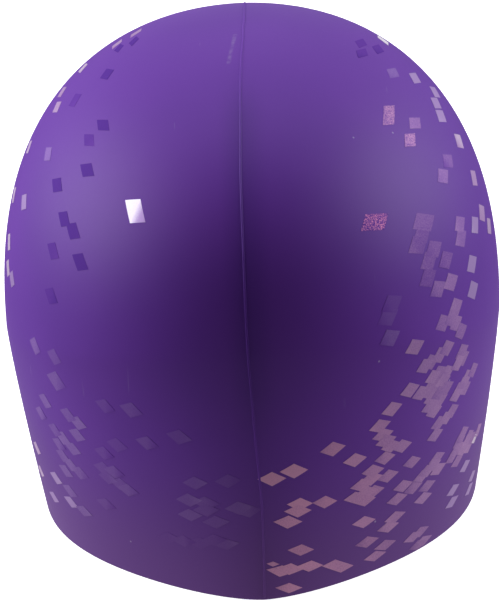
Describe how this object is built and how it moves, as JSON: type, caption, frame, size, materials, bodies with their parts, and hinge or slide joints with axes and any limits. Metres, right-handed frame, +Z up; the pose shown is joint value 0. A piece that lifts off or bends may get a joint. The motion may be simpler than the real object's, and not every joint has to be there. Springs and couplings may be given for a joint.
{
  "type": "swim cap",
  "caption": "Moulded silicone swim cap: a smooth hollow dome with a raised seam line over the crown, open at its flat rim.",
  "frame": {"origin": "under the top of the crown, in the middle of the rim's plane", "axes": "+Z up to the crown, +Y from the nape to the forehead, +X to the side; the seam lies in the plane X = 0"},
  "size_m": [0.16, 0.2004, 0.1562],
  "materials": {
    "silicone": "satin violet moulded silicone, printed with small foil squares"
  },
  "bodies": {
    "root": {"cap_shell": "silicone"}
  },
  "joints": []
}
